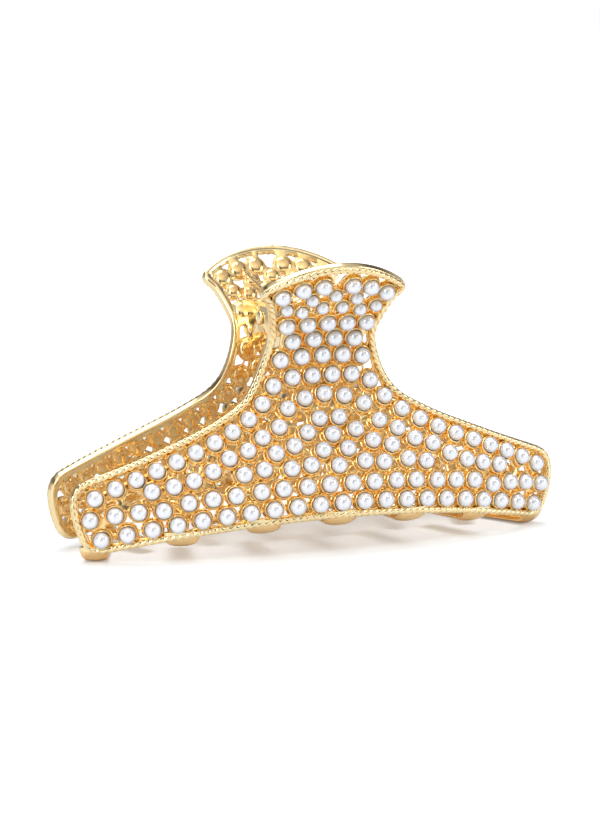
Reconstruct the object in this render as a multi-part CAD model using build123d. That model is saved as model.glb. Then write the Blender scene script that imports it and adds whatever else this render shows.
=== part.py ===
from build123d import *
from functools import cache
from itertools import combinations
from math import asin, cos, degrees, radians, sin, tan
import os

# Claw hair clip: two openwork metal jaws set with pearls, on a sprung hinge.
#
# Millimetres. +X runs along the clip, -Y is the front, +Z is up.
# The origin is the middle of the footprint, on the plane the end teeth rest on.
# Each jaw is one casting. Its skin is a thin wall bent two ways: an S-shaped
# section (belly, waist, handle) turned about an upright axis behind the clip.

# ---- the skin: section in the middle plane, "gap" measured from the y = 0 plane ----
BOW_CENTRE = 86.0          # distance of the upright turning axis from y = 0
BELLY_RADIUS = 17.4
BELLY_CENTRE_GAP = -1.1
BELLY_CENTRE_Z = 8.0
BELLY_LEAN = 30.0          # degrees from upright where the belly runs into the flank
FLANK_LENGTH = 9.5
WAIST_RADIUS = 15.3
HANDLE_LEAN = 36.0         # degrees from upright
HANDLE_LENGTH = 15.0
BELLY_START = -50.0        # degrees, low end of the belly arc
HALF_SWEEP = 32.0          # degrees each side of the middle that a jaw can reach

# ---- the lower edge of the openwork field, in (x, z): middle, quarter, end ----
LOWER_EDGE = ((0, 7.4), (21.0, 6.2), (41.6, 2.6))

# ---- the metal ----
RIM_HEIGHT = 2.4           # from inner face to the top of the cord border
RIM_WIDTH = 1.1            # outside the field's outline
RIM_LAP = 0.2              # inside the field's outline
FIELD_INNER = 0.35         # the openwork field lies inside the rim height
FIELD_OUTER = 0.85
CUP_FOOT = 0.6             # cup rings start inside the field and stand on it
CUP_TOP = 1.9
CUP_WALL = 0.22
GLUE = 0.08                # glue line round a pearl in its cup
PEARL_BACK = 1.0           # height of the flat backs above the inner face
SEAT_DEPTH = 1.0           # how far the flat back of a large pearl lies below its middle
MIDDLE_HEIGHT = PEARL_BACK + SEAT_DEPTH
LARGE_PEARL = 1.5          # radius
SMALL_PEARL = 1.15         # radius
OPENING_WEB = 0.12         # metal left between an opening and a cup
SMALLEST_OPENING = 0.3     # radius

# ---- the hinge ----
HINGE_Z = 41.0
EAR_THICKNESS = 1.0
EAR_GAP = 0.1
EAR_OUTER_X = 8.2
EAR_END_RADIUS = 2.3
EAR_LOW_Z = 34.9
EAR_HIGH_Z = 43.3
EAR_ROOT = 0.7             # height over the inner face that an ear reaches, inside the field
PIN_RADIUS = 0.8
PIN_CLEARANCE = 0.05
PIN_HEAD_RADIUS = 1.3
PIN_HEAD_HEIGHT = 0.5

# ---- the spring ----
WIRE_RADIUS = 0.35
COIL_RADIUS = 2.0
COIL_PITCH = 0.95
COIL_TURNS = 10
LEG_LEAN = 70.0            # degrees from upright
LEG_LENGTH = 16.0

# ---- the teeth ----
TOOTH_PITCH = 14.2
TOOTH_WIDTH = 5.6
TOOTH_THICKNESS = 1.8
TOOTH_TAPER = 0.7          # tip thickness over root thickness
TOOTH_SET_BACK = 0.3       # a tooth's outer face lies this far behind the cord border
TOOTH_ROOT = 0.4           # how far a tooth's top lies below the field's lower edge
TOOTH_DROP = 2.6           # how far a tooth hangs below the field's lower edge
TOOTH_END_REACH = 13.0
TOOTH_MIDDLE_REACH = 21.0

JAW_AXIS = Axis((0, BOW_CENTRE, 0), (0, 0, 1))


# ------------------------------------------------------------------ the skin section
def along(angle, length):
    """A step of the given length in the direction (gap, z) at an angle in degrees."""
    return length * cos(radians(angle)), length * sin(radians(angle))


def waist_centre():
    """Centre of the waist arc, in (gap, z); the flank line joins that arc to the belly."""
    out_gap, out_z = along(BELLY_LEAN, BELLY_RADIUS + WAIST_RADIUS)
    up_gap, up_z = along(BELLY_LEAN + 90, FLANK_LENGTH)
    return BELLY_CENTRE_GAP + out_gap + up_gap, BELLY_CENTRE_Z + out_z + up_z


def skin_at(z, offset=0.0):
    """Gap and outward normal angle at a height on the skin moved outward by an offset."""
    waist_gap, waist_z = waist_centre()
    belly_radius = BELLY_RADIUS + offset
    waist_radius = WAIST_RADIUS - offset
    belly_top = BELLY_CENTRE_Z + along(BELLY_LEAN, belly_radius)[1]
    waist_low = waist_z - along(BELLY_LEAN, waist_radius)[1]
    waist_high = waist_z + along(HANDLE_LEAN, waist_radius)[1]
    if z <= belly_top:
        angle = degrees(asin((z - BELLY_CENTRE_Z) / belly_radius))
        return BELLY_CENTRE_GAP + along(angle, belly_radius)[0], angle
    if z <= waist_low:
        start = BELLY_CENTRE_GAP + along(BELLY_LEAN, belly_radius)[0]
        return start - (z - belly_top) * tan(radians(BELLY_LEAN)), BELLY_LEAN
    if z <= waist_high:
        angle = degrees(asin((waist_z - z) / waist_radius))
        return waist_gap - along(angle, waist_radius)[0], angle
    start = waist_gap - along(HANDLE_LEAN, waist_radius)[0]
    return start + (z - waist_high) * tan(radians(HANDLE_LEAN)), -HANDLE_LEAN


def section_line(offset):
    """The section in (gap, z), moved outward by an offset, from low end to handle end."""
    waist_gap, waist_z = waist_centre()

    def belly(angle):
        gap, z = along(angle, BELLY_RADIUS + offset)
        return BELLY_CENTRE_GAP + gap, BELLY_CENTRE_Z + z

    def waist(angle):
        gap, z = along(angle, WAIST_RADIUS - offset)
        return waist_gap - gap, waist_z - z

    handle_start = waist(-HANDLE_LEAN)
    step_gap, step_z = along(90 - HANDLE_LEAN, HANDLE_LENGTH)
    handle_end = (handle_start[0] + step_gap, handle_start[1] + step_z)
    return [
        ThreePointArc(belly(BELLY_START), belly(BELLY_START / 2), belly(0)),
        ThreePointArc(belly(0), belly(BELLY_LEAN / 2), belly(BELLY_LEAN)),
        Line(belly(BELLY_LEAN), waist(BELLY_LEAN)),
        ThreePointArc(waist(BELLY_LEAN), waist(0), waist(-HANDLE_LEAN)),
        Line(handle_start, handle_end),
    ]


def shell(inner, outer):
    """The front jaw's wall between two offsets, before it is cut to its outline."""
    inner_line = section_line(inner)
    outer_line = section_line(outer)
    ends = [
        Line(inner_line[0] @ 0, outer_line[0] @ 0),
        Line(inner_line[-1] @ 1, outer_line[-1] @ 1),
    ]
    flat = make_face(inner_line + outer_line + ends)
    upright = Plane(origin=(0, 0, 0), x_dir=(0, -1, 0), z_dir=(-1, 0, 0))
    strip = upright * flat
    return revolve(strip, JAW_AXIS, 2 * HALF_SWEEP).rotate(JAW_AXIS, -HALF_SWEEP)


def seat(x, z, height=MIDDLE_HEIGHT):
    """Plane on the front skin, its normal out of the clip, that passes (x, z) at a height."""
    gap, angle = skin_at(z, height)
    reach = BOW_CENTRE + gap
    turn = asin(x / reach)
    lift = radians(angle)
    normal = Vector(sin(turn) * cos(lift), -cos(turn) * cos(lift), sin(lift))
    above = Vector(reach * sin(turn), BOW_CENTRE - reach * cos(turn), z)
    return Plane(origin=above - normal * height, x_dir=(cos(turn), sin(turn), 0), z_dir=normal)


# ------------------------------------------------------------------ the outline
def outline_half():
    """Right half of the field's outline seen from the front, bottom to top."""
    bottom = ThreePointArc(*LOWER_EDGE)
    corner = ThreePointArc(bottom @ 1, (44.0, 2.9), (45.2, 4.9))
    end = ThreePointArc(corner @ 1, (46.1, 7.6), (46.5, 10.4))
    shoulder = ThreePointArc(end @ 1, (46.1, 12.6), (44.3, 14.1))
    arm = ThreePointArc(shoulder @ 1, (32.2, 18.7), (20.0, 23.8))
    throat = TangentArc(arm @ 1, (9.6, 37.0), tangent=arm % 1)
    nape = TangentArc(throat @ 1, (11.6, 45.3), tangent=throat % 1)
    horn = Line(nape @ 1, (13.4, 46.6))
    top = ThreePointArc(horn @ 1, (7.0, 49.5), (0, 50.5))
    return [bottom, corner, end, shoulder, arm, throat, nape, horn, top]


def outline():
    right = outline_half()
    left = [mirror(edge, Plane.YZ) for edge in right]
    return make_face(right + left)


def prism(flat):
    """An outline in (x, z) stretched through the front half of the clip."""
    past_front = 40
    facing = Plane(origin=(0, 0, 0), x_dir=(1, 0, 0), z_dir=(0, -1, 0))
    return extrude(facing * flat, past_front)


# ------------------------------------------------------------------ the pearl layout
def strung(count, *points):
    """Places spaced evenly along a smooth line through the points."""
    line = Spline([(x, z) for x, z in points])
    return [((line @ (i / (count - 1))).X, (line @ (i / (count - 1))).Y) for i in range(count)]


def flipped(places):
    return [(-x, z) for x, z in places]


def bottom_row():
    return strung(21, (-42.3, 4.4), (0, 9.35), (42.3, 4.4))


def second_row():
    return strung(22, (-44.1, 7.9), (-28, 10.1), (0, 12.4), (28, 10.1), (44.1, 7.9))


def right_edge():
    return strung(11, (43.2, 11.8), (32.5, 16.4), (21.5, 20.8), (14.6, 24.5), (9.4, 29.7))


def right_arm():
    outer = strung(8, (33.9, 12.2), (19.8, 17.5), (9.7, 22.8))
    middle = strung(6, (17.6, 14.7), (9.4, 18.6), (1.9, 23.75))
    inner = strung(3, (9.3, 15.2), (5.6, 15.8), (2.8, 18.1))
    return outer + middle + inner


def crown():
    return strung(5, (-7.4, 25.8), (0, 27.9), (7.4, 25.8)) + [(0.0, 20.5), (-0.3, 15.4)]


def waist():
    first = strung(4, (-5.75, 31.0), (0, 31.2), (5.75, 31.0))
    second = strung(5, (-7.95, 34.2), (0, 34.8), (7.95, 34.2))
    third = strung(4, (-6.0, 37.6), (0, 37.9), (6.0, 37.6))
    fourth = strung(5, (-7.7, 40.5), (0, 40.8), (7.7, 40.5))
    return first + second + third + fourth


def handle_large():
    right = strung(3, (10.0, 46.1), (6.6, 47.3), (2.8, 47.8))
    return right + flipped(right)


def handle_small():
    lower = strung(4, (-5.8, 43.0), (0, 43.8), (5.8, 43.0))
    upper = strung(5, (-8.4, 43.6), (0, 45.9), (8.4, 43.6))
    return lower + upper


def first_zones():
    """Every pearl zone: name, radius of its pearls, their places before they settle."""
    return [
        ("bottom_row", LARGE_PEARL, bottom_row()),
        ("second_row", LARGE_PEARL, second_row()),
        ("right_edge", LARGE_PEARL, right_edge()),
        ("left_edge", LARGE_PEARL, flipped(right_edge())),
        ("right_arm", LARGE_PEARL, right_arm()),
        ("left_arm", LARGE_PEARL, flipped(right_arm())),
        ("crown", LARGE_PEARL, crown()),
        ("waist", LARGE_PEARL, waist()),
        ("handle_large", LARGE_PEARL, handle_large()),
        ("handle_small", SMALL_PEARL, handle_small()),
    ]


def settle(places, radii, fixed):
    """Push pearls that stand too close apart along the skin, leaving the fixed ones."""
    rounds = 40
    breathing = 0.1
    places = list(places)
    for _ in range(rounds):
        points = [seat(x, z).origin for x, z in places]
        for i, j in combinations(range(len(places)), 2):
            (x, z), (other_x, other_z) = places[i], places[j]
            wanted = radii[i] + radii[j] + 2 * (GLUE + CUP_WALL) + breathing
            if abs(x - other_x) > wanted or abs(z - other_z) > wanted:
                continue
            distance = (points[i] - points[j]).length
            if distance >= wanted or (fixed[i] and fixed[j]):
                continue
            share = (wanted - distance) / distance / (1 if fixed[i] or fixed[j] else 2)
            step_x, step_z = (x - other_x) * share, (z - other_z) * share
            if not fixed[i]:
                places[i] = (x + step_x, z + step_z)
            if not fixed[j]:
                places[j] = (other_x - step_x, other_z - step_z)
    return places


@cache
def zones():
    """Every pearl zone: name, radius of its pearls, their settled places."""
    border = ("bottom_row", "right_edge", "left_edge", "handle_large")
    listed = [(name, radius, place) for name, radius, places in first_zones() for place in places]
    radii = [radius for _, radius, _ in listed]
    fixed = [name in border for name, _, _ in listed]
    settled = settle([place for _, _, place in listed], radii, fixed)
    found = []
    for name, radius, _ in first_zones():
        found.append((name, radius, [spot for spot, row in zip(settled, listed) if row[0] == name]))
    return found


def pearl(radius):
    """A pearl with a flat back, its back at z = 0."""
    depth = SEAT_DEPTH * radius / LARGE_PEARL
    ball = Pos(0, 0, depth) * Sphere(radius)
    below = Pos(0, 0, -radius) * Box(4 * radius, 4 * radius, 2 * radius)
    return ball - below


def pearls(radius, places):
    one = pearl(radius)
    return [seat(x, z) * Pos(0, 0, PEARL_BACK) * one for x, z in places]


# ------------------------------------------------------------------ the openwork field
def upright_cylinder(radius, low, high):
    return Pos(0, 0, low) * Cylinder(radius, high - low, align=(Align.CENTER, Align.CENTER, Align.MIN))


def cup_rings():
    """A thin upright ring round every pearl."""
    rings = []
    for _, radius, places in zones():
        bore = radius + GLUE
        ring = upright_cylinder(bore + CUP_WALL, CUP_FOOT, CUP_TOP) - upright_cylinder(bore, 0, CUP_TOP + 1)
        rings += [seat(x, z) * ring for x, z in places]
    return rings


def circle_through(a, b, c):
    """Centre of the circle through three points in space."""
    ab, ac = b - a, c - a
    cross = ab.cross(ac)
    size = cross.dot(cross)
    return a + (cross.cross(ab) * ac.dot(ac) + ac.cross(cross) * ab.dot(ab)) * (1 / (2 * size))


def openings():
    """Centre and radius of the opening between every three cups that stand together."""
    widest_spread = 6.2
    web = 0.25
    border = outline().wire()
    cups = []
    for _, radius, places in zones():
        cups += [(seat(x, z).origin, radius + GLUE + CUP_WALL) for x, z in places]
    found = []
    for i, (here, _) in enumerate(cups):
        near = [cup[0] for cup in cups[i + 1:] if (cup[0] - here).length < widest_spread]
        for second, third in combinations(near, 2):
            if (second - third).length > widest_spread or (second - here).cross(third - here).length < 1:
                continue
            centre = circle_through(here, second, third)
            radius = min((centre - place).length - size for place, size in cups) - OPENING_WEB
            if radius > SMALLEST_OPENING:
                found.append((radius, centre))
    found.sort(key=lambda item: -item[0])
    kept = []
    for radius, centre in found:
        if any((centre - other).length < radius + size + web for size, other in kept):
            continue
        if border.distance_to(Vertex(centre.X, centre.Z, 0)) > radius + 2 * web:
            kept.append((radius, centre))
    return kept


def opening_tools():
    tools = []
    for radius, centre in openings():
        tools.append(seat(centre.X, centre.Z, 0) * upright_cylinder(radius, -1, 2))
    return tools


def field():
    """The thin openwork wall that carries the cups."""
    outer_flat = offset(outline(), RIM_WIDTH, kind=Kind.ARC)
    wall = shell(FIELD_INNER, FIELD_OUTER) & prism(outer_flat)
    return wall.cut(*opening_tools())


def rim():
    """The raised border that follows the outline."""
    border = offset(outline(), RIM_WIDTH, kind=Kind.ARC) - offset(outline(), -RIM_LAP)
    return shell(0, RIM_HEIGHT) & prism(border)


# ------------------------------------------------------------------ ears and teeth
def ear_root(x, z):
    """Point (y, z) inside the openwork field, where an ear is rooted."""
    root = seat(x, z)
    end = root.origin + root.z_dir * EAR_ROOT
    return end.Y, end.Z


def ear(outer_x):
    """A hinge ear of the front jaw, its outer face at outer_x on the +X side."""
    middle_x = outer_x - EAR_THICKNESS / 2
    low, middle, high = (ear_root(middle_x, z) for z in (EAR_LOW_Z, HINGE_Z - 2, EAR_HIGH_Z))
    eye = Pos(0, HINGE_Z) * Circle(EAR_END_RADIUS)
    chin = (0.9 * EAR_END_RADIUS, HINGE_Z - 1)
    crest = (0, EAR_HIGH_Z)
    web = make_face([Line(low, chin), Line(chin, crest), Line(crest, high), ThreePointArc(high, middle, low)])
    flat = eye + web - Pos(0, HINGE_Z) * Circle(PIN_RADIUS + PIN_CLEARANCE)
    side = Plane(origin=(outer_x, 0, 0), x_dir=(0, 1, 0), z_dir=(1, 0, 0))
    return extrude(side * flat, -EAR_THICKNESS)


def edge_height(x):
    """Height of the field's lower edge at x, close to the arc that draws it."""
    (_, middle_z), _, (end_x, end_z) = LOWER_EDGE
    share = min(abs(x) / end_x, 1.0)
    return middle_z + (end_z - middle_z) * share ** 2


def tooth(x, reach):
    """A flat curved finger that leaves the lower rim and points under the clip."""
    top = edge_height(x) - TOOTH_ROOT
    low = edge_height(x) - TOOTH_DROP
    bend = top - low
    gap = skin_at(top)[0]
    outer_y = TOOTH_SET_BACK - gap - RIM_HEIGHT
    tip_y = outer_y + reach
    thin = TOOTH_THICKNESS * TOOTH_TAPER
    nose_y = tip_y - thin / 2
    spine = [
        JernArc((outer_y, top), (0, -1), bend, 90),
        Line((outer_y + bend, low), (nose_y, low)),
        ThreePointArc((nose_y, low), (tip_y, low + thin / 2), (nose_y, low + thin)),
        Line((nose_y, low + thin), (outer_y + bend, low + TOOTH_THICKNESS)),
        JernArc((outer_y + bend, low + TOOTH_THICKNESS), (-1, 0), bend - TOOTH_THICKNESS, -90),
        Line((outer_y + TOOTH_THICKNESS, top), (outer_y, top)),
    ]
    side = Plane(origin=(0, 0, 0), x_dir=(0, 1, 0), z_dir=(1, 0, 0))
    bar = extrude(side * make_face(spine), TOOTH_WIDTH / 2, both=True)
    root = TOOTH_WIDTH / 2
    nose = TOOTH_WIDTH / 3
    plan = make_face([
        Line((-root, -1), (-root, 0)),
        Line((-root, 0), (-nose, reach - nose)),
        ThreePointArc((-nose, reach - nose), (0, reach), (nose, reach - nose)),
        Line((nose, reach - nose), (root, 0)),
        Line((root, 0), (root, -1)),
        Line((root, -1), (-root, -1)),
    ])
    shadow = extrude(Pos(0, outer_y, low - 1) * plan, bend + 2)
    turn = degrees(asin(x / (BOW_CENTRE + gap)))
    return (bar & shadow).rotate(JAW_AXIS, turn)


def reach_at(x):
    share = abs(x) / (3 * TOOTH_PITCH)
    return TOOTH_MIDDLE_REACH + share * (TOOTH_END_REACH - TOOTH_MIDDLE_REACH)


def jaw(tooth_places, ear_outer_x):
    """One casting, as it stands on the front side: border, teeth, field, cup rings, ears."""
    teeth = [tooth(x, reach_at(x)) for x in tooth_places]
    ears = [ear(ear_outer_x), mirror(ear(ear_outer_x), Plane.YZ)]
    frame = rim().fuse(*teeth)
    openwork = field().fuse(frame).fuse(*cup_rings())
    return openwork.fuse(*ears).solid()


def front_jaw():
    return jaw([i * TOOTH_PITCH for i in range(-3, 4)], EAR_OUTER_X)


def rear_jaw():
    places = [(i + 0.5) * TOOTH_PITCH for i in range(-3, 3)]
    return mirror(jaw(places, EAR_OUTER_X - EAR_THICKNESS - EAR_GAP), Plane.XZ)


# ------------------------------------------------------------------ hinge pin and spring
def hinge_pin():
    half = EAR_OUTER_X + EAR_GAP
    across = Plane(origin=(0, 0, HINGE_Z), x_dir=(0, 1, 0), z_dir=(1, 0, 0))
    shaft = across * Cylinder(PIN_RADIUS, 2 * half)
    head = upright_cylinder(PIN_HEAD_RADIUS, half, half + PIN_HEAD_HEIGHT)
    return shaft.fuse(across * head, mirror(across * head, Plane.YZ))


def torsion_spring():
    """A coil round the pin with one straight leg to each handle."""
    start_angle = 180 - LEG_LEAN
    turns = COIL_TURNS - (start_angle - LEG_LEAN) / 360
    length = turns * COIL_PITCH
    radial = (0, cos(radians(start_angle)), sin(radians(start_angle)))
    base = Plane(origin=(-length / 2, 0, HINGE_Z), x_dir=radial, z_dir=(1, 0, 0))
    coil = base.location * Helix(pitch=COIL_PITCH, height=length, radius=COIL_RADIUS)
    rear_leg = Line(coil @ 0 - (coil % 0) * LEG_LENGTH, coil @ 0)
    front_leg = Line(coil @ 1, coil @ 1 + (coil % 1) * LEG_LENGTH)
    path = Wire([rear_leg.edge(), coil.edge(), front_leg.edge()])
    end = Plane(origin=path @ 0, z_dir=path % 0)
    return sweep(end * Circle(WIRE_RADIUS), path=path)


# ------------------------------------------------------------------ hand over
def save(name, *solids):
    """Write one node; identical items stay separate solids in one file."""
    shape = solids[0] if len(solids) == 1 else Compound(children=list(solids))
    shape.label = name
    export_step(shape, os.path.join("parts", name + ".step"))


def main():
    os.makedirs("parts", exist_ok=True)
    save("front_jaw", front_jaw())
    save("rear_jaw", rear_jaw())
    save("hinge_pin", hinge_pin().solid())
    save("torsion_spring", torsion_spring().solid())
    for name, radius, places in zones():
        front = pearls(radius, places)
        save("front_pearls_" + name, *front)
        save("rear_pearls_" + name, *[mirror(item, Plane.XZ) for item in front])


main()
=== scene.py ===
"""Looks of the pearl-set claw clip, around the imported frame. Lengths are in millimetres until mesh()."""
import math

import bmesh
import bpy
import numpy as np
from mathutils import Matrix, Vector, geometry


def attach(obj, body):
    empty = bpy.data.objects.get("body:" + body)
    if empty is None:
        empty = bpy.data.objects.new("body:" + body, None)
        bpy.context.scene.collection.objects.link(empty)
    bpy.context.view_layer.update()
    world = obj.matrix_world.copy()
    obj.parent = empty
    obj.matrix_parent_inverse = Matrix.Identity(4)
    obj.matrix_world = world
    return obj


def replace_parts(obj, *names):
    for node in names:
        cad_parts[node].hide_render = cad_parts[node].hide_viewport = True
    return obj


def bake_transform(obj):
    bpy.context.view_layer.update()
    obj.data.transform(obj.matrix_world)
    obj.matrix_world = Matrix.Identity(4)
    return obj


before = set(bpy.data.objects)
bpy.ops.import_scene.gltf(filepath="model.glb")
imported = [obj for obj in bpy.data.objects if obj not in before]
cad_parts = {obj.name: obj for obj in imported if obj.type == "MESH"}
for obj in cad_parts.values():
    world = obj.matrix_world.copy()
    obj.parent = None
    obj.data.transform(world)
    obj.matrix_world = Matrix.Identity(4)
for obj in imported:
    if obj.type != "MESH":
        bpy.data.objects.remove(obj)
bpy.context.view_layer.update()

MM = 0.001
TAU = 2 * math.pi
SHARP_ANGLE = math.radians(48)
FRONT, REAR = "front_jaw_body", "rear_jaw_body"

# ---- the skin of a jaw: an S-shaped section turned about an upright axis ----
BOW_CENTRE = 86.0
BELLY_RADIUS, BELLY_GAP, BELLY_Z, BELLY_LEAN = 17.4, -1.1, 8.0, math.radians(30)
FLANK_LENGTH, WAIST_RADIUS, HANDLE_LEAN = 9.5, 15.3, math.radians(36)
BOTH_RADII = BELLY_RADIUS + WAIST_RADIUS
WAIST_GAP = BELLY_GAP + BOTH_RADII * math.cos(BELLY_LEAN) - FLANK_LENGTH * math.sin(BELLY_LEAN)
WAIST_Z = BELLY_Z + BOTH_RADII * math.sin(BELLY_LEAN) + FLANK_LENGTH * math.cos(BELLY_LEAN)
MIDDLE = 2.0               # height over the inner face at which outlines and places are drawn

# ---- heights over the inner face ----
FIELD_LOW, FIELD_TOP = 0.35, 0.9
CUP_LOW, CUP_TOP = 0.60, 1.85
CUP_WALL = 0.30            # thickness of a collar
GLUE = 0.05                # width of the glue line round a pearl

# ---- the twisted cord on the rim ----
ROPE_RADIUS = 0.62
ROPE_MIDDLE = 0.24         # distance outside the field's outline
ROPE_HEIGHT = 1.66
STRANDS = 3
STRAND_PITCH = 1.27        # from one strand to the next along the cord

# ---- the field ----
BORDER_SPACING = 0.6       # between the points of its outline
BORDER_MARGIN = 0.35       # how far it runs under the rim
OPENING_LIP = 0.02         # from an opening's edge to the rounding inside it

# ---- the lower edge in (x, z): middle, quarter, end ----
LOWER_EDGE = ((0, 7.4), (21, 6.2), (41.6, 2.6))

# ---- hinge, spring and teeth ----
HINGE_Z = 41.0
EAR_OUTER = 8.2
EAR_THICKNESS = 1.0
EAR_GAP = 0.1              # between a front ear and the rear ear beside it
EAR_END = 2.3              # radius round the pin
EAR_LOW_Z, EAR_HIGH_Z = 34.9, 43.3
EAR_ROOT = 0.5             # how far an ear runs into the skin
PIN_RADIUS, PIN_HEAD = 0.8, 1.3
TOOTH_PITCH = 14.2
TOOTH_DROP = 2.6           # how far a tooth hangs below the lower edge
TOOTH_REACH_END, TOOTH_REACH_MIDDLE = 13.0, 21.0
WIRE, COIL, COIL_PITCH, COIL_TURNS = 0.35, 2.0, 0.95, 10
LEG_LEAN, LEG_LENGTH = math.radians(70), 16.0


# ------------------------------------------------------------------ skin
def section(z, height):
    """Gap and lift of the outward normal at a height over the inner face."""
    z = np.asarray(z, float)
    belly, waist = BELLY_RADIUS + height, WAIST_RADIUS - height
    belly_top = BELLY_Z + belly * math.sin(BELLY_LEAN)
    waist_low = WAIST_Z - waist * math.sin(BELLY_LEAN)
    waist_high = WAIST_Z + waist * math.sin(HANDLE_LEAN)
    on_belly = np.arcsin(np.clip((z - BELLY_Z) / belly, -1, 1))
    on_waist = np.arcsin(np.clip((WAIST_Z - z) / waist, -1, 1))
    flank = BELLY_GAP + belly * math.cos(BELLY_LEAN) - (z - belly_top) * math.tan(BELLY_LEAN)
    handle = WAIST_GAP - waist * math.cos(HANDLE_LEAN) + (z - waist_high) * math.tan(HANDLE_LEAN)
    zones = [z <= belly_top, z <= waist_low, z <= waist_high]
    gaps = [BELLY_GAP + belly * np.cos(on_belly), flank, WAIST_GAP - waist * np.cos(on_waist)]
    lifts = [on_belly, np.full_like(z, BELLY_LEAN), on_waist]
    return np.select(zones, gaps, handle), np.select(zones, lifts, -HANDLE_LEAN)


def skin_frame(x, z):
    """Point of the front skin at MIDDLE height seen at (x, z), its normal, turn and lift."""
    x, z = np.asarray(x, float), np.asarray(z, float)
    gap, lift = section(z, MIDDLE)
    reach = BOW_CENTRE + gap
    turn = np.arcsin(np.clip(x / reach, -1, 1))
    point = np.stack([reach * np.sin(turn), BOW_CENTRE - reach * np.cos(turn), z], -1)
    normal = np.stack([np.sin(turn) * np.cos(lift), -np.cos(turn) * np.cos(lift), np.sin(lift)], -1)
    return point, normal, turn, lift


def on_skin(x, z, height):
    """Point at a height over the inner face on the normal through the skin point seen at (x, z)."""
    point, normal, _, _ = skin_frame(x, z)
    return point + normal * (np.asarray(height, float) - MIDDLE)[..., None]


# ------------------------------------------------------------------ mesh helpers
class Pile:
    """Vertices and faces of one piece, gathered from many closed shells."""

    def __init__(self):
        self.points, self.faces, self.count = [], [], 0

    def add(self, points, faces):
        points = np.asarray(points, float).reshape(-1, 3)
        self.points.append(points)
        self.faces += [tuple(i + self.count for i in face) for face in faces]
        self.count += len(points)

    def mesh(self, name, mirrored=False):
        """A smooth-shaded object in metres; mirrored puts it on the rear side."""
        points = np.concatenate(self.points) * MM
        faces = self.faces
        if mirrored:
            points = points * (1, -1, 1)
            faces = [face[::-1] for face in faces]
        data = bpy.data.meshes.new(name)
        data.from_pydata(points.tolist(), [], faces)
        data.polygons.foreach_set("use_smooth", [True] * len(faces))
        data.update()
        data.set_sharp_from_angle(angle=SHARP_ANGLE)
        piece = bpy.data.objects.new(name, data)
        bpy.context.scene.collection.objects.link(piece)
        return piece


def grid_faces(rows, columns, wrap_rows=False):
    """Quads between rings of points, which may themselves close into a ring."""
    faces = []
    for i in range(rows if wrap_rows else rows - 1):
        for j in range(columns):
            a, b = i * columns + j, i * columns + (j + 1) % columns
            shift = (i + 1) % rows * columns
            faces.append((a, b, shift + (j + 1) % columns, shift + j))
    return faces


def capped(rows, columns):
    """Faces of a tube of rings with a flat cap at both ends."""
    last = (rows - 1) * columns
    caps = [tuple(range(columns))[::-1], tuple(last + j for j in range(columns))]
    return grid_faces(rows, columns) + caps


def facing_out(piece):
    """Turn every shell's faces outward."""
    shape = bmesh.new()
    shape.from_mesh(piece.data)
    bmesh.ops.recalc_face_normals(shape, faces=shape.faces)
    shape.to_mesh(piece.data)
    shape.free()
    return piece


# ------------------------------------------------------------------ outline
def arc(start, through, end, count):
    """Points on the circle through three points, from start up to but not at the end."""
    (ax, ay), (bx, by), (cx, cy) = start, through, end
    d = 2 * (ax * (by - cy) + bx * (cy - ay) + cx * (ay - by))
    a2, b2, c2 = ax * ax + ay * ay, bx * bx + by * by, cx * cx + cy * cy
    ux = (a2 * (by - cy) + b2 * (cy - ay) + c2 * (ay - by)) / d
    uy = (a2 * (cx - bx) + b2 * (ax - cx) + c2 * (bx - ax)) / d
    first, middle, last = (math.atan2(y - uy, x - ux) for x, y in (start, through, end))
    sweep = (last - first) % TAU
    if (middle - first) % TAU > sweep:
        sweep -= TAU
    radius = math.hypot(ax - ux, ay - uy)
    angles = first + sweep * np.arange(count) / count
    return [(ux + radius * math.cos(t), uy + radius * math.sin(t)) for t in angles]


def smooth_line(points, count):
    """Catmull-Rom line through points, from the first up to but not at the last."""
    p = [np.array(q, float) for q in points]
    p = [2 * p[0] - p[1]] + p + [2 * p[-1] - p[-2]]
    found = []
    for a, b, c, d in zip(p, p[1:], p[2:], p[3:]):
        for t in np.arange(count) / count:
            cube = -a + 3 * b - 3 * c + d
            square = 2 * a - 5 * b + 4 * c - d
            found.append(tuple(0.5 * (2 * b + (c - a) * t + square * t * t + cube * t ** 3)))
    return found


def outline(spacing):
    """The field's outline in (x, z), anticlockwise, evenly spaced and gently rounded."""
    fine_spacing, smoothings = 0.15, 40
    half = arc(*LOWER_EDGE, 60)
    half += arc(LOWER_EDGE[2], (44.0, 2.9), (45.2, 4.9), 12)
    half += arc((45.2, 4.9), (46.1, 7.6), (46.5, 10.4), 10)
    half += arc((46.5, 10.4), (46.1, 12.6), (44.3, 14.1), 12)
    shoulder, nape, crown = (44.3, 14.1), (11.6, 45.3), (0, 50.5)
    arm = [shoulder, (32.2, 18.7), (20.0, 23.8), (13.2, 28.5), (9.6, 37.0), (10.1, 41.5), nape]
    half += smooth_line(arm, 16)
    half += [nape, (12.5, 46.0)]
    half += arc((13.4, 46.6), (7.0, 49.5), crown, 24) + [crown]
    left = [(-x, z) for x, z in half[::-1][1:-1]]
    loop = resampled(np.array(half + left), fine_spacing)
    for _ in range(smoothings):
        loop = (np.roll(loop, 1, 0) + 2 * loop + np.roll(loop, -1, 0)) / 4
    return resampled(loop, spacing)


def resampled(loop, spacing):
    """The closed loop with evenly spaced points."""
    closed = np.vstack([loop, loop[:1]])
    steps = np.hypot(*np.diff(closed, axis=0).T)
    travel = np.concatenate([[0], np.cumsum(steps)])
    at = np.linspace(0, travel[-1], max(8, round(travel[-1] / spacing)) + 1)[:-1]
    return np.stack([np.interp(at, travel, closed[:, 0]), np.interp(at, travel, closed[:, 1])], -1)


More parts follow.
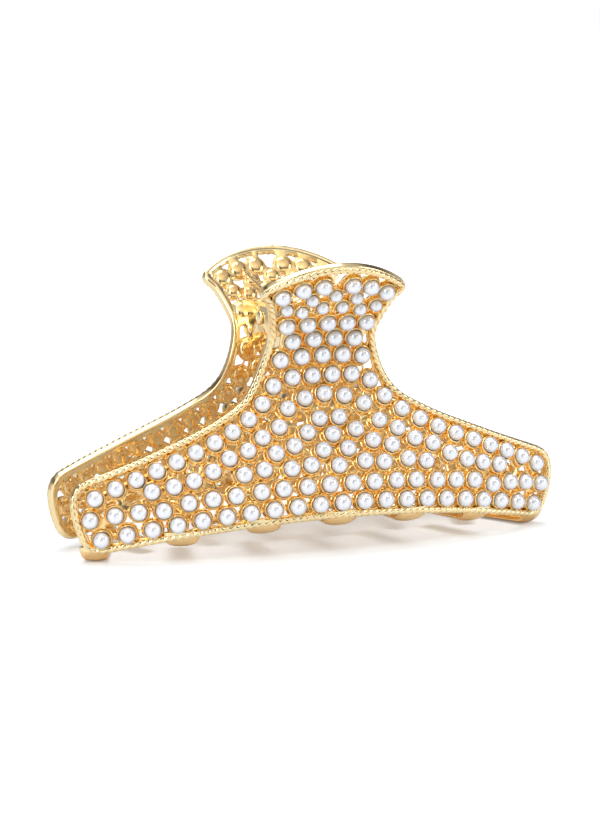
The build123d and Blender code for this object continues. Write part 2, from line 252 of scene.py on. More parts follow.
def outward(loop):
    """Unit outward normals of an anticlockwise loop."""
    along = np.roll(loop, -1, 0) - np.roll(loop, 1, 0)
    along /= np.hypot(*along.T)[:, None]
    return np.stack([along[:, 1], -along[:, 0]], -1)


def moved_out(loop, distance):
    """The loop moved outward by a true distance on the sloping skin."""
    normal = outward(loop)
    _, _, turn, lift = skin_frame(loop[:, 0], loop[:, 1])
    flat = np.stack([normal[:, 0] * np.cos(turn), normal[:, 1] * np.cos(lift)], -1)
    return loop + flat * np.asarray(distance, float).reshape(-1, 1)


def inside(points, loop):
    """Which points lie inside a closed loop."""
    x, y = points[:, 0], points[:, 1]
    odd = np.zeros(len(points), bool)
    for (ax, ay), (bx, by) in zip(loop, np.roll(loop, -1, 0)):
        if ay != by:
            odd ^= ((ay > y) != (by > y)) & (x < ax + (y - ay) * (bx - ax) / (by - ay))
    return odd


# ------------------------------------------------------------------ pearls and cups
def balls(node):
    """Centre and radius in millimetres of every pearl in a CAD node."""
    shape = bmesh.new()
    shape.from_mesh(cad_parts[node].data)
    bmesh.ops.remove_doubles(shape, verts=shape.verts, dist=1e-6)
    found, seen = [], set()
    for seed in shape.verts:
        if seed in seen:
            continue
        island, todo = [], [seed]
        seen.add(seed)
        while todo:
            vertex = todo.pop()
            island.append(tuple(vertex.co / MM))
            for edge in vertex.link_edges:
                other = edge.other_vert(vertex)
                if other not in seen:
                    seen.add(other)
                    todo.append(other)
        points = np.array(island)
        middle = points.mean(0)
        local = points - middle
        system = np.hstack([2 * local, np.ones((len(local), 1))])
        answer = np.linalg.lstsq(system, (local ** 2).sum(1), rcond=None)[0]
        radius = math.sqrt(answer[3] + (answer[:3] ** 2).sum())
        found.append((tuple(middle + answer[:3]), radius))
    shape.free()
    return sorted(found)


def front_zones():
    """Pearl zones of the front jaw: node ending and its pearls as (x, z, radius) on the skin."""
    prefix = "front_pearls_"
    zones = []
    for node in sorted(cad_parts):
        if node.startswith(prefix):
            places = [(x, z, radius) for (x, _, z), radius in balls(node)]
            zones.append((node[len(prefix):], places))
    return zones


ZONES = front_zones()
CUPS = [place for _, places in ZONES for place in places]


def ring_points(x, z, radius, height, count):
    """A circle of points round (x, z) on the skin, at a height over the inner face."""
    _, _, turn, lift = skin_frame(x, z)
    angle = TAU * np.arange(count) / count
    px = x + radius * np.cos(angle) * np.cos(turn)
    pz = z + radius * np.sin(angle) * np.cos(lift)
    return on_skin(px, pz, np.full(count, height))


def cup_ring(pile, x, z, radius):
    """A rounded collar that stands on the field round one pearl, with a flared foot."""
    bore = radius + GLUE
    outside, foot = bore + CUP_WALL, bore + CUP_WALL + 0.26
    profile = [
        (bore, CUP_LOW), (bore, 1.62), (bore + 0.05, 1.78), (bore + 0.13, CUP_TOP), (bore + 0.22, 1.80),
        (outside, 1.62), (outside + 0.02, 1.15), (outside + 0.11, 0.93), (foot, 0.86), (foot, CUP_LOW),
    ]
    count = 26
    rings = [ring_points(x, z, ring, height, count) for ring, height in profile]
    pile.add(np.array(rings), grid_faces(len(profile), count, wrap_rows=True))


def cup_back(pile, x, z, radius):
    """The rounded back of a cup on the inner face of the jaw."""
    edge = radius + 0.18
    profile = [(0.02, -0.02), (0.45 * edge, 0.0), (0.72 * edge, 0.08), (0.9 * edge, 0.2), (edge, 0.42)]
    count = 22
    rings = [ring_points(x, z, ring, height, count) for ring, height in profile]
    pile.add(np.array(rings), capped(len(profile), count))


def pearl(pile, x, z, radius):
    """A flat-backed pearl: a lathe-turned dome, very slightly drawn in at its crown."""
    crown_gap, drawn_in, back_share = 0.09, 0.012, 0.80
    point, normal, turn, _ = skin_frame(x, z)
    across = np.array([math.cos(turn), math.sin(turn), 0.0])
    up = np.cross(normal, across)
    depth = radius * 2 / 3
    count = 26
    low = -math.asin(depth / radius)
    angles = np.linspace(low, math.pi / 2 - crown_gap, 13)
    levels = [(back_share * radius * math.cos(low), -depth)]
    levels += [(radius * math.cos(a), radius * math.sin(a) * (1 - drawn_in * (a > 0))) for a in angles]
    rings = []
    for ring, height in levels:
        turnings = TAU * np.arange(count) / count
        flat = np.cos(turnings)[:, None] * across + np.sin(turnings)[:, None] * up
        rings.append(point + flat * ring + normal * height)
    pile.add(np.array(rings), capped(len(levels), count))


# ------------------------------------------------------------------ openings between the cups
def free_spots(cups, solid, walls, border):
    """Middles of the free spaces on the skin, largest first: (free radius, (x, z))."""
    step, least, wall_strip = 0.25, 0.27, 0.35
    low, high = border.min(0), border.max(0)
    xs, zs = np.arange(low[0], high[0], step), np.arange(low[1], high[1], step)
    flat = np.stack([side.ravel() for side in np.meshgrid(xs, zs)], -1)
    places = skin_frame(flat[:, 0], flat[:, 1])[0]
    room = np.full(len(flat), 99.0)
    for place, size in list(zip(cups, solid)) + [(wall, wall_strip) for wall in walls]:
        room = np.minimum(room, np.linalg.norm(places - place, axis=1) - size)
    room[~inside(flat, border)] = 0
    room = room.reshape(len(zs), len(xs))
    peak = room > least
    for shift in ((0, 1), (0, -1), (1, 0), (-1, 0), (1, 1), (1, -1), (-1, 1), (-1, -1)):
        peak &= room >= np.roll(room, shift, (0, 1))
    found = [(room[i, j], np.array([xs[j], zs[i]])) for i, j in zip(*np.nonzero(peak))]
    return sorted(found, key=lambda spot: (-spot[0], spot[1][0]))


def opening_loops():
    """Rounded openings in the free spaces: (centre, directions, reach along each direction)."""
    web, edge_web, corner, count = 0.16, 0.40, 0.25, 20
    cup_web, nearby, least_reach, least_ahead = 0.03, 5, 0.16, 0.05
    spots = np.array([[x, z] for x, z, _ in CUPS])
    solid = np.array([radius + GLUE + CUP_WALL for _, _, radius in CUPS])
    border = outline(BORDER_SPACING)
    cups, walls = (skin_frame(line[:, 0], line[:, 1])[0] for line in (spots, border))
    kept = []
    for free, centre in free_spots(cups, solid, walls, border):
        place = skin_frame(*centre)[0]
        if all(np.linalg.norm(place - other) > free + size + web for size, _, other in kept):
            kept.append((free, centre, place))
    flat = np.vstack([spots, border])
    sizes = np.concatenate([solid + cup_web, np.full(len(border), edge_web)])
    angles = TAU * np.arange(count) / count
    heading = np.stack([np.cos(angles), np.sin(angles)], -1)
    loops = []
    for free, centre, place in kept:
        _, _, turn, lift = skin_frame(*centre)
        scale = np.array([math.cos(turn), math.cos(lift)])
        reach = np.full(count, 1.5 * free + corner)
        for away, size in zip((flat - centre) / scale, sizes):
            if np.hypot(*away) < nearby:
                ahead = heading @ away
                aside = away @ away - ahead ** 2
                hit = (aside < size ** 2) & (ahead > 0)
                edge = ahead - np.sqrt(np.maximum(size ** 2 - aside, 0))
                reach = np.minimum(reach, np.where(hit, edge, reach))
        for other_free, other, other_place in kept:
            distance = np.linalg.norm(other_place - place)
            if 0 < distance < nearby:
                toward = (other - centre) / scale
                ahead = heading @ (toward / np.hypot(*toward))
                limit = distance * free / (free + other_free) - web / 2
                closer = np.minimum(reach, limit / np.maximum(ahead, least_ahead))
                reach = np.where(ahead > least_ahead, closer, reach)
        for _ in range(2):
            reach = (np.roll(reach, 1) + 2 * reach + np.roll(reach, -1)) / 4
        loops.append((centre, heading * scale, np.maximum(reach, least_reach)))
    return loops


def fill_points(border, taken, openings):
    """Points of a staggered grid that lie inside the border, clear of the edges and openings."""
    row_gap, column_gap, clear = 1.15, 1.3, 0.45
    low, high = border.min(0), border.max(0)
    grid = []
    for row, z in enumerate(np.arange(low[1], high[1], row_gap)):
        for x in np.arange(low[0] + column_gap / 2 * (row % 2), high[0], column_gap):
            grid.append((x, z))
    grid = np.array(grid)
    grid = grid[inside(grid, border)]
    spare = [p for p in grid if np.hypot(*(taken - p).T).min() > clear]
    return [tuple(p) for p in spare if not any(np.hypot(*(p - c)) < r.max() for c, _, r in openings)]


def lip(centre, heading, reach):
    """The edge of an opening on both faces of the field, as a loop of (x, z)."""
    return centre + heading * (reach + OPENING_LIP)[:, None]


def plate(border, openings):
    """The field as flat triangles: points, triangles, the border's ring and every opening's ring."""
    nearby = 0.3
    lips = [lip(*opening) for opening in openings]
    points, edges, starts = [], [], []
    for loop in [border] + lips:
        start, count = len(points), len(loop)
        points += [tuple(p) for p in loop]
        edges += [(start + i, start + (i + 1) % count) for i in range(count)]
        starts.append((start, count))
    points += fill_points(border, np.array(points), openings)
    found = geometry.delaunay_2d_cdt([Vector(p) for p in points], edges, [], 0, 1e-7)
    flat = np.array([tuple(v) for v in found[0]])
    triangles = np.array([tuple(f) for f in found[2]])
    centres = flat[triangles].mean(1)
    keep = inside(centres, border)
    for loop, (centre, _, reach) in zip(lips, openings):
        close = np.hypot(*(centres - centre).T) < reach.max() + nearby
        keep[close] &= ~inside(centres[close], loop)
    lookup = {i: new for new, old in enumerate(found[3]) for i in old}
    rings = [[lookup[start + i] for i in range(count)] for start, count in starts]
    return flat, triangles[keep], rings[0], rings[1:]


def field(pile):
    """The openwork wall: both faces, with rounded edges round every opening."""
    border = moved_out(outline(BORDER_SPACING), BORDER_MARGIN)
    openings = opening_loops()
    flat, triangles, edge, rings = plate(border, openings)
    size = len(flat)
    top, bottom = (on_skin(*flat.T, np.full(size, height)) for height in (FIELD_TOP, FIELD_LOW))
    faces = [tuple(t) for t in triangles] + [tuple(t[::-1] + size) for t in triangles]
    for a, b in zip(edge, edge[1:] + edge[:1]):
        faces.append((a, a + size, b + size, b))
    walls, count = [], 2 * size
    rounding = [
        (0.06, FIELD_TOP - 0.05), (0.11, FIELD_TOP - 0.17),
        (0.11, FIELD_LOW + 0.15), (0.06, FIELD_LOW + 0.04),
    ]
    for ring, (centre, heading, reach) in zip(rings, openings):
        length = len(ring)
        bands = [ring]
        for step, height in rounding:
            loop = centre + heading * np.maximum(reach - step, 0.05)[:, None]
            walls.append(on_skin(*loop.T, np.full(length, height)))
            bands.append(list(range(count, count + length)))
            count += length
        bands.append([i + size for i in ring])
        for upper, lower in zip(bands, bands[1:]):
            for i in range(length):
                j = (i + 1) % length
                faces.append((upper[i], upper[j], lower[j], lower[i]))
    pile.add(np.concatenate([top, bottom] + walls), faces)


# ------------------------------------------------------------------ rim and cord
def swept(pile, loop, profile):
    """A closed band along a loop. The profile is (distance outside the loop, height), a closed ring."""
    bands = []
    for distance, height in profile:
        path = moved_out(loop, distance)
        bands.append(on_skin(path[:, 0], path[:, 1], np.full(len(path), height)))
    points = np.array(bands).transpose(1, 0, 2)
    pile.add(points, grid_faces(len(loop), len(profile), wrap_rows=True))


def rim(pile):
    """The smooth bevelled band under and outside the cord."""
    profile = [
        (-0.10, 0.36), (0.05, 0.28), (0.45, 0.24), (0.80, 0.28), (0.95, 0.40), (1.01, 0.60), (1.02, 1.30),
        (0.96, 1.55), (0.78, 1.68), (0.45, 1.66), (0.10, 1.50), (-0.10, 1.30), (-0.12, 0.80),
    ]
    swept(pile, outline(0.45), profile)


def cord(pile):
    """The twisted cord on the rim: strands wound round the path."""
    step, sides, groove = 0.16, 15, 0.40
    loop = moved_out(outline(step), ROPE_MIDDLE)
    count = len(loop)
    length = np.hypot(*(np.roll(loop, -1, 0) - loop).T).sum()
    turns = round(length / (STRAND_PITCH * STRANDS))
    normal = outward(loop)
    angles = TAU * np.arange(sides) / sides
    point, skin_normal, _, _ = skin_frame(loop[:, 0], loop[:, 1])
    side = on_skin(*(loop + normal * 0.05).T, np.full(count, MIDDLE)) - point
    side -= skin_normal * (side * skin_normal).sum(1)[:, None]
    side /= np.linalg.norm(side, axis=1)[:, None]
    middle = point + skin_normal * (ROPE_HEIGHT - MIDDLE)
    twist = TAU * turns * np.arange(count) / count
    lobes = np.abs(np.cos(STRANDS / 2 * (angles[None] - twist[:, None])))
    radius = ROPE_RADIUS * (1 - groove + groove * lobes ** 0.55)
    rings = middle[:, None] + radius[..., None] * (
        np.cos(angles)[None, :, None] * side[:, None] + np.sin(angles)[None, :, None] * skin_normal[:, None]
    )
    pile.add(rings, grid_faces(count, sides, wrap_rows=True))


# ------------------------------------------------------------------ teeth and ears
def edge_height(x):
    """Height of the lower edge at x, close to the arc that draws it."""
    (_, middle_z), _, (end_x, end_z) = LOWER_EDGE
    share = min(abs(x) / end_x, 1.0)
    return middle_z + (end_z - middle_z) * share ** 2


def tooth(pile, x):
    """A smooth curved claw: broad where it leaves the rim, narrowing to a blunt tip."""
    share = min(abs(x) / (3 * TOOTH_PITCH), 1.0)
    reach = TOOTH_REACH_MIDDLE + share * (TOOTH_REACH_END - TOOTH_REACH_MIDDLE)
    top, low = edge_height(x) - 0.3, edge_height(x) - TOOTH_DROP
    corner_x = 45.3
    root_width, neck_width, neck, narrowing = min(3.5, corner_x - abs(x)), 2.4, 0.45, 0.6
    thick_root, thick_tip = 1.8, 1.15
    gap, _ = section(edge_height(x), 0.0)
    outer = -float(gap) - 2.1
    bend, sag = 2.1, 0.28
    middle = low + thick_root / 2
    start = outer + thick_root / 2 + bend
    spine = [(outer + thick_root / 2, top, 0.0, 1.0)]
    for angle in np.radians(np.arange(0, 91, 15)):
        spine.append((start - bend * math.cos(angle), middle + bend - bend * math.sin(angle), angle, 1.0))
    length = outer + reach - start
    straight = [(step, 1.0) for step in np.linspace(0.12, 0.93, 10)]
    for step, shrink in straight + [(0.965, 0.82), (0.99, 0.5), (1.0, 0.14)]:
        spine.append((start + length * step, middle - sag * step, math.pi / 2, shrink))
    travel = np.cumsum([0] + [math.dist(a[:2], b[:2]) for a, b in zip(spine, spine[1:])])
    travel /= travel[-1]
    turn = math.asin(x / (BOW_CENTRE + float(gap)))
    count = 20
    rings = []
    for along, (y, z, heading, shrink) in zip(travel, spine):
        waisted = (root_width - neck_width) * min(along / neck, 1.0) ** 0.8
        width = (root_width - waisted - narrowing * along) * shrink
        thick = (thick_root + (thick_tip - thick_root) * along) / 2 * shrink
        ring = []
        for angle in TAU * np.arange(count) / count:
            c, s = math.cos(angle), math.sin(angle)
            across = width * c
            out = thick * math.copysign(abs(s) ** 0.9, s)
            ring.append((across, y - out * math.cos(heading), z - out * math.sin(heading)))
        rings.append(ring)
    points = np.array(rings)
    offset = points - (0, BOW_CENTRE, 0)
    turned = np.stack([
        offset[..., 0] * math.cos(turn) - offset[..., 1] * math.sin(turn),
        offset[..., 0] * math.sin(turn) + offset[..., 1] * math.cos(turn) + BOW_CENTRE,
        offset[..., 2],
    ], -1)
    pile.add(turned, capped(len(rings), count))


def ear(pile, outer_x):
    """A hinge plate with softened edges, from the inner face to its eye round the pin."""
    low, high = ((-float(section(z, 0)[0]) - EAR_ROOT, z) for z in (EAR_LOW_Z, EAR_HIGH_Z))
    angles = np.radians(np.arange(-50, 91, 10))
    eye = [(EAR_END * math.cos(a), HINGE_Z + EAR_END * math.sin(a)) for a in angles]
    shape = np.array([low] + eye + [high])
    middle = shape.mean(0)
    rounding = [(0.0, -0.14), (0.05, -0.04), (0.14, 0.0)]
    levels = rounding + [(EAR_THICKNESS - depth, shrink) for depth, shrink in rounding[::-1]]
    rings = []
    for depth, shrink in levels:
        away = shape - middle
        away *= (1 + shrink / np.hypot(*away.T))[:, None]
        ring = middle + away
        rings.append([(outer_x - math.copysign(depth, outer_x), y, z) for y, z in ring])
    pile.add(np.array(rings), capped(len(levels), len(shape)))


# ------------------------------------------------------------------ pin and spring
def lathe_x(pile, profile, count=28):
    """A body turned about the hinge line. The profile is (x, radius)."""
    angles = TAU * np.arange(count) / count
    rings = [[(x, r * math.cos(a), HINGE_Z + r * math.sin(a)) for a in angles] for x, r in profile]
    pile.add(np.array(rings), capped(len(profile), count))


def tube(pile, path, radius, count=12):
    """A round wire along a path of points, with narrowed ends."""
    path = np.array(path, float)
    along = np.gradient(path, axis=0)
    along /= np.linalg.norm(along, axis=1)[:, None]
    side = np.cross(along[0], (1.0, 0.0, 0.0))
    rings = []
    last = len(path) - 1
    for i, (point, heading) in enumerate(zip(path, along)):
        side = side - heading * (side @ heading)
        side /= np.linalg.norm(side)
        up = np.cross(heading, side)
        size = radius * (0.45 if i in (0, last) else 1.0)
        angles = TAU * np.arange(count) / count
        rings.append(point + size * (np.cos(angles)[:, None] * side + np.sin(angles)[:, None] * up))
    pile.add(np.array(rings), capped(len(path), count))


def spring_path():
    """The wire's middle line: rear leg, coil round the pin, front leg."""
    start_angle = math.pi - LEG_LEAN
    turns = COIL_TURNS - (start_angle - LEG_LEAN) / TAU
    length = turns * COIL_PITCH
    coil_points, leg_points = 330, 24
    angles = start_angle + np.linspace(0, turns * TAU, coil_points)
    xs = np.linspace(-length / 2, length / 2, len(angles))
    coil = np.stack([xs, COIL * np.cos(angles), HINGE_Z + COIL * np.sin(angles)], -1)
    rise = COIL_PITCH / TAU / COIL
    first = np.array([rise, -math.sin(LEG_LEAN), -math.cos(LEG_LEAN)])
    last = np.array([rise, -math.sin(LEG_LEAN), math.cos(LEG_LEAN)])
    steps = np.concatenate([[0.02], np.linspace(0.3, LEG_LENGTH, leg_points)])[::-1]
    rear = [coil[0] - first / np.linalg.norm(first) * s for s in steps]
    front = [coil[-1] + last / np.linalg.norm(last) * s for s in steps[::-1]]
    return np.vstack([rear, coil, front])


# ------------------------------------------------------------------ materials
class Nodes:
    """Short ways to add nodes to a material or world."""

    def __init__(self, tree):
        self.tree = tree

    def add(self, kind, **values):
        node = self.tree.nodes.new(kind)
        for name, value in values.items():
            setattr(node, name, value)
        return node

    def link(self, source, target):
        self.tree.links.new(source, target)

    def noise(self, place, scale, detail=3.0, rough=0.5):
        node = self.add("ShaderNodeTexNoise")
        node.inputs["Scale"].default_value = scale
        node.inputs["Detail"].default_value = detail
        node.inputs["Roughness"].default_value = rough
        self.link(place, node.inputs["Vector"])
        return node.outputs["Fac"]

    def ramp(self, source, *stops):
        """A colour ramp. Every stop is (position, colour)."""
        node = self.add("ShaderNodeValToRGB")
        band = node.color_ramp
        while len(band.elements) < len(stops):
            band.elements.new(0.5)
        for element, (position, colour) in zip(band.elements, stops):
            element.position = position
            element.color = (*colour, 1.0)
        self.link(source, node.inputs["Fac"])
        return node.outputs["Color"]

    def level(self, source, low, high):
        """A value spread from low to high as the source goes from 0 to 1."""
        node = self.add("ShaderNodeMapRange")
        node.inputs["To Min"].default_value = low
        node.inputs["To Max"].default_value = high
        node.clamp = False
        self.link(source, node.inputs["Value"])
        return node.outputs["Result"]

    def dot(self, vector, axis):
        node = self.add("ShaderNodeVectorMath", operation="DOT_PRODUCT")
        self.link(vector, node.inputs[0])
        node.inputs[1].default_value = axis
        return node.outputs["Value"]

    def math(self, operation, first, second):
        node = self.add("ShaderNodeMath", operation=operation)
        for socket, value in zip(node.inputs, (first, second)):
            if isinstance(value, (int, float)):
                socket.default_value = value
            else:
                self.link(value, socket)
        return node.outputs[0]

    def blend(self, share, first, second, how="MIX"):
        node = self.add("ShaderNodeMix", data_type="RGBA", blend_type=how)
        for name, value in (("Factor_Float", share), ("A_Color", first), ("B_Color", second)):
            socket = next(entry for entry in node.inputs if entry.identifier == name)
            if isinstance(value, (int, float)):
                socket.default_value = value
            elif isinstance(value, tuple):
                socket.default_value = (*value, 1.0)
            else:
                self.link(value, socket)
        return next(entry for entry in node.outputs if entry.identifier == "Result_Color")

    def bump(self, height, distance, strength=1.0):
        node = self.add("ShaderNodeBump")
        node.inputs["Distance"].default_value = distance
        node.inputs["Strength"].default_value = strength
        self.link(height, node.inputs["Height"])
        return node.outputs["Normal"]


def new_material(name):
    material = bpy.data.materials.new(name)
    material.use_nodes = True
    nodes = Nodes(material.node_tree)
    surface = material.node_tree.nodes["Principled BSDF"]
    place = nodes.add("ShaderNodeTexCoord").outputs["Object"]
    return material, nodes, surface, place


def gold(name, pale, deep, smooth):
    """Polished plating over a casting: painted shade deepens the colour in the corners, a painted highlight
    pales the edges, soft ripples.
    """
    material, nodes, surface, place = new_material(name)
    edge = nodes.add("ShaderNodeNewGeometry").outputs["Pointiness"]
    # Painted shade and highlight by pointiness: corners get the deep colour and edges the pale one.
    painted_cavity_shade = nodes.ramp(edge, (0.44, (0.0, 0.0, 0.0)), (0.54, (1.0, 1.0, 1.0)))
    cloud = nodes.noise(place, 260.0)
    base = nodes.blend(painted_cavity_shade, deep, pale)
    tint = nodes.ramp(cloud, (0.35, (1.0, 0.93, 0.86)), (0.65, (1.0, 1.0, 1.0)))
    nodes.link(nodes.blend(1.0, base, tint, "MULTIPLY"), surface.inputs["Base Color"])
    surface.inputs["Metallic"].default_value = 1.0
    grain = nodes.noise(place, 2400.0, 4.0, 0.6)
    rough = nodes.level(grain, smooth, smooth + 0.14)
    nodes.link(rough, surface.inputs["Roughness"])
    ripple = nodes.noise(place, 700.0, 2.0)
    height = nodes.math("ADD", nodes.math("MULTIPLY", grain, 0.25), ripple)
    nodes.link(nodes.bump(height, 0.00006, 0.6), surface.inputs["Normal"])
    return material


def pearl_coat():
    """Nacre: milky body, a rosy and bluish cast toward the rim with painted shade that darkens the rim, a
    clear glossy coat.
    """
    material, nodes, surface, place = new_material("pearl_nacre")
    facing = nodes.add("ShaderNodeLayerWeight")
    facing.inputs["Blend"].default_value = 0.5
    cloud = nodes.noise(place, 420.0, 2.0)
    shifted = nodes.math("ADD", facing.outputs["Facing"], nodes.level(cloud, -0.08, 0.08))
    # Base colour by facing: painted shade darkening to grey-lilac toward the rim, a cooler middle, and a
    # rosy-bluish cast.
    body = nodes.ramp(
        shifted,
        (0.0, (0.86, 0.89, 0.93)), (0.14, (0.95, 0.94, 0.95)), (0.30, (0.89, 0.91, 0.96)),
        (0.48, (0.82, 0.80, 0.86)), (0.72, (0.55, 0.57, 0.66)), (1.0, (0.45, 0.45, 0.50)),
    )
    nodes.link(body, surface.inputs["Base Color"])
    surface.inputs["Metallic"].default_value = 0.4
    surface.inputs["Roughness"].default_value = 0.16
    surface.inputs["Subsurface Weight"].default_value = 0.1
    surface.inputs["Subsurface Radius"].default_value = (1.0, 0.8, 0.7)
    surface.inputs["Subsurface Scale"].default_value = 0.0006
    surface.inputs["Coat Weight"].default_value = 0.9
    surface.inputs["Coat Roughness"].default_value = 0.04
    surface.inputs["Coat IOR"].default_value = 1.6
    surface.inputs["Thin Film Thickness"].default_value = 420.0
    surface.inputs["Thin Film IOR"].default_value = 1.45
    skin = nodes.noise(place, 1500.0, 3.0)
    nodes.link(nodes.bump(skin, 0.00002, 0.5), surface.inputs["Normal"])
    return material


def drawn_wire():
    """Spring wire: pale plated steel with fine lines from drawing."""
    material, nodes, surface, place = new_material("spring_wire_plated")
    lines = nodes.noise(place, 1800.0, 4.0, 0.7)
    colour = nodes.ramp(lines, (0.3, (0.72, 0.53, 0.30)), (0.7, (0.90, 0.74, 0.48)))
    nodes.link(colour, surface.inputs["Base Color"])
    surface.inputs["Metallic"].default_value = 1.0
    nodes.link(nodes.level(lines, 0.16, 0.34), surface.inputs["Roughness"])
    nodes.link(nodes.bump(lines, 0.00004, 0.5), surface.inputs["Normal"])
    return material


# One gold plating in two copies: the rim, cord, teeth, ears and pin get a paler copy, which is painted
# light on the parts that stand out.
GOLD = gold("gold_plated_casting", (1.0, 0.77, 0.38), (0.93, 0.52, 0.17), 0.10)
LIT_GOLD_COPY = gold("gold_plating_lit_copy", (1.0, 0.83, 0.48), (0.95, 0.61, 0.26), 0.09)
NACRE = pearl_coat()
WIRE_METAL = drawn_wire()


# ------------------------------------------------------------------ pieces
def finished(pile, name, body, material, mirrored=False):
    """Make a piece of the pile, dress it and let it ride on its body."""
    piece = facing_out(pile.mesh(name, mirrored))
    piece.data.materials.append(material)
    if body:
        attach(piece, body)
    return piece


def built(maker, items):
    """A pile with one shell, or set of shells, for every item."""
    pile = Pile()
    for item in items:
        maker(pile, *item)
    return pile


def jaw(side, body, tooth_places, ear_x, mirrored):
    """All metal pieces and pearls of one jaw."""
    teeth = built(tooth, [(x,) for x in tooth_places])
    ears = built(ear, [(ear_x,), (-ear_x,)])
    sections = SHARED + [("teeth", teeth, LIT_GOLD_COPY), ("hinge_ears", ears, LIT_GOLD_COPY)]
    for name, pile, material in sections:
        piece = finished(pile, side + "_" + name, body, material, mirrored)
        if name == "openwork":
            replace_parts(piece, side + "_jaw")
    for zone, pile in PEARL_ROWS:
        piece = finished(pile, side + "_pearl_row_" + zone, body, NACRE, mirrored)
        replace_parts(piece, side + "_pearls_" + zone)


def pin():
    """The hinge pin with a rounded head at both ends."""
    half = EAR_OUTER + EAR_GAP
    right = [
        (half - 0.02, PIN_RADIUS), (half, PIN_HEAD - 0.04), (half + 0.12, PIN_HEAD),
        (half + 0.3, 1.24), (half + 0.44, 1.05), (half + 0.5, 0.75),
    ]
    left = [(-x, radius) for x, radius in right[::-1]]
    pile = Pile()
    lathe_x(pile, left + right)
    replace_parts(finished(pile, "hinge_pin_turned", FRONT, LIT_GOLD_COPY), "hinge_pin")


def spring():
    """The torsion spring: rear leg, coil round the pin and front leg, as one wire that rides on no jaw."""
    pile = Pile()
    tube(pile, spring_path(), WIRE)
    piece = finished(pile, "torsion_spring_wire", None, WIRE_METAL)
    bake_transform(piece)
    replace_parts(piece, "torsion_spring")


SHARED = [
    ("openwork", built(field, [()]), GOLD),
    ("rim_band", built(rim, [()]), LIT_GOLD_COPY),
    ("rim_cord", built(cord, [()]), LIT_GOLD_COPY),
    ("cup_collars", built(cup_ring, CUPS), GOLD),
    ("cup_backs", built(cup_back, CUPS), GOLD),
]
PEARL_ROWS = [(zone, built(pearl, places)) for zone, places in ZONES]
jaw("front", FRONT, [i * TOOTH_PITCH for i in range(-3, 4)], EAR_OUTER, False)
REAR_EAR = EAR_OUTER - EAR_THICKNESS - EAR_GAP
jaw("rear", REAR, [(i + 0.5) * TOOTH_PITCH for i in range(-3, 3)], REAR_EAR, True)
pin()
spring()


# ------------------------------------------------------------------ floor, light and camera
AZIMUTH = math.radians(-22.3)


def floor():
    """A pale floor that fades to white away from the clip."""
    size = 3.0             # half its side in metres
    data = bpy.data.meshes.new("floor")
    corners = [(-size, -size, 0), (size, -size, 0), (size, size, 0), (-size, size, 0)]
    data.from_pydata(corners, [], [(0, 1, 2, 3)])
    piece = bpy.data.objects.new("floor", data)
    bpy.context.scene.collection.objects.link(piece)
    material, nodes, surface, place = new_material("pale_floor")
    surface.inputs["Base Color"].default_value = (0.88, 0.92, 0.96, 1.0)
    surface.inputs["Roughness"].default_value = 0.55
    surface.inputs["Specular IOR Level"].default_value = 0.25
    seen = nodes.add("ShaderNodeLightPath").outputs["Is Camera Ray"]
    away = nodes.add("ShaderNodeVectorMath", operation="LENGTH")
    nodes.link(place, away.inputs[0])
    fade = nodes.ramp(away.outputs["Value"], (0.12, (0.27, 0.27, 0.27)), (0.55, (1.0, 1.0, 1.0)))
    surface.inputs["Emission Color"].default_value = (1.0, 1.0, 1.0, 1.0)
    nodes.link(nodes.math("MULTIPLY", seen, fade), surface.inputs["Emission Strength"])
    data.materials.append(material)


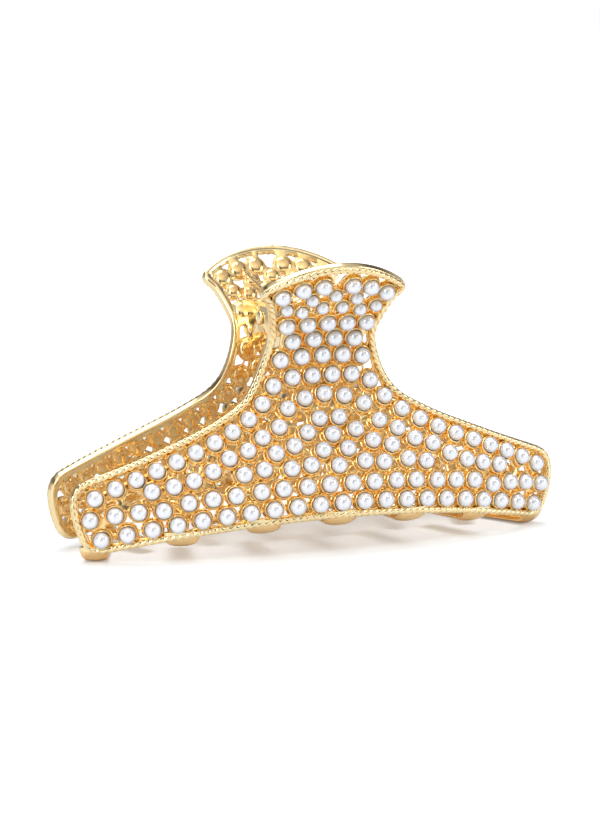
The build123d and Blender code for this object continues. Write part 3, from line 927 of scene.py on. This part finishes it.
def studio():
    """A white room with darker flags, which give the metal and the pearls their contrast."""
    bpy.context.scene.view_settings.view_transform = "Standard"
    world = bpy.data.worlds.new("studio")
    bpy.context.scene.world = world
    world.use_nodes = True
    tree = world.node_tree
    nodes = Nodes(tree)
    back = tree.nodes["Background"]
    aim = nodes.add("ShaderNodeTexCoord").outputs["Generated"]
    across = nodes.math("ABSOLUTE", nodes.dot(aim, (math.cos(AZIMUTH), math.sin(AZIMUTH), 0)), 0)
    toward = nodes.level(nodes.dot(aim, (math.sin(AZIMUTH), -math.cos(AZIMUTH), 0)), 0.5, 1.0)
    lift = nodes.level(nodes.dot(aim, (0, 0, 1)), 0.5, 1.0)
    walls = nodes.ramp(
        toward, (0.0, (0.50, 0.50, 0.52)), (0.42, (0.40, 0.40, 0.42)), (0.56, (0.62, 0.61, 0.60)),
        (0.72, (1.15, 1.14, 1.12)), (1.0, (1.25, 1.24, 1.22)),
    )
    levels = nodes.ramp(
        lift, (0.5, (1.0, 1.0, 1.0)), (0.66, (0.95, 0.95, 0.96)), (0.74, (0.22, 0.22, 0.24)),
        (0.84, (0.30, 0.30, 0.32)), (0.90, (1.3, 1.3, 1.3)),
    )
    flag = nodes.ramp(across, (0.15, (0.10, 0.12, 0.17)), (0.30, (1.0, 1.0, 1.0)))
    in_front = nodes.ramp(toward, (0.78, (0.0, 0.0, 0.0)), (0.88, (1.0, 1.0, 1.0)))
    flagged = nodes.blend(in_front, (1.0, 1.0, 1.0), flag)
    shade = nodes.blend(1.0, nodes.blend(1.0, walls, levels, "MULTIPLY"), flagged, "MULTIPLY")
    seen = nodes.add("ShaderNodeLightPath").outputs["Is Camera Ray"]
    nodes.link(nodes.blend(seen, shade, (1.0, 1.0, 1.0)), back.inputs["Color"])
    strength = nodes.level(seen, 0.95, 1.0)
    nodes.link(strength, back.inputs["Strength"])


def softbox(name, place, aim, width, height, power, tint=(1.0, 1.0, 1.0)):
    data = bpy.data.lights.new(name, "AREA")
    data.shape = "RECTANGLE"
    data.size, data.size_y = width, height
    data.energy = power
    data.color = tint
    lamp = bpy.data.objects.new(name, data)
    lamp.location = place
    lamp.rotation_euler = (Vector(aim) - Vector(place)).to_track_quat("-Z", "Y").to_euler()
    bpy.context.scene.collection.objects.link(lamp)


def lights():
    middle = (0, 0, 0.025)
    softbox("key_left", (-0.55, -0.45, 0.55), middle, 0.30, 0.45, 2.3)
    softbox("fill_right", (0.6, -0.35, 0.35), middle, 0.22, 0.45, 1.1)
    softbox("overhead", (0.0, 0.15, 0.8), middle, 0.6, 0.4, 2.6)


def camera():
    """A long lens a little to the left of the clip and above it."""
    elevation, roll = math.radians(9.0), math.radians(-0.6)
    target, distance = Vector((0, 0, 0.020)), 0.550
    level = math.cos(elevation)
    back = Vector((math.sin(AZIMUTH) * level, -math.cos(AZIMUTH) * level, math.sin(elevation)))
    right = Vector((math.cos(AZIMUTH), math.sin(AZIMUTH), 0))
    up = back.cross(right)
    data = bpy.data.cameras.new("camera")
    data.lens, data.sensor_width = 130.4, 36.0
    data.shift_x, data.shift_y = -0.0044, 0.0170
    data.clip_start, data.clip_end = 0.05, 20.0
    piece = bpy.data.objects.new("camera", data)
    turned = Matrix((right, up, back)).transposed() @ Matrix.Rotation(roll, 3, "Z")
    piece.matrix_world = Matrix.Translation(target + back * distance) @ turned.to_4x4()
    bpy.context.scene.collection.objects.link(piece)
    bpy.context.scene.camera = piece


floor()
studio()
lights()
camera()
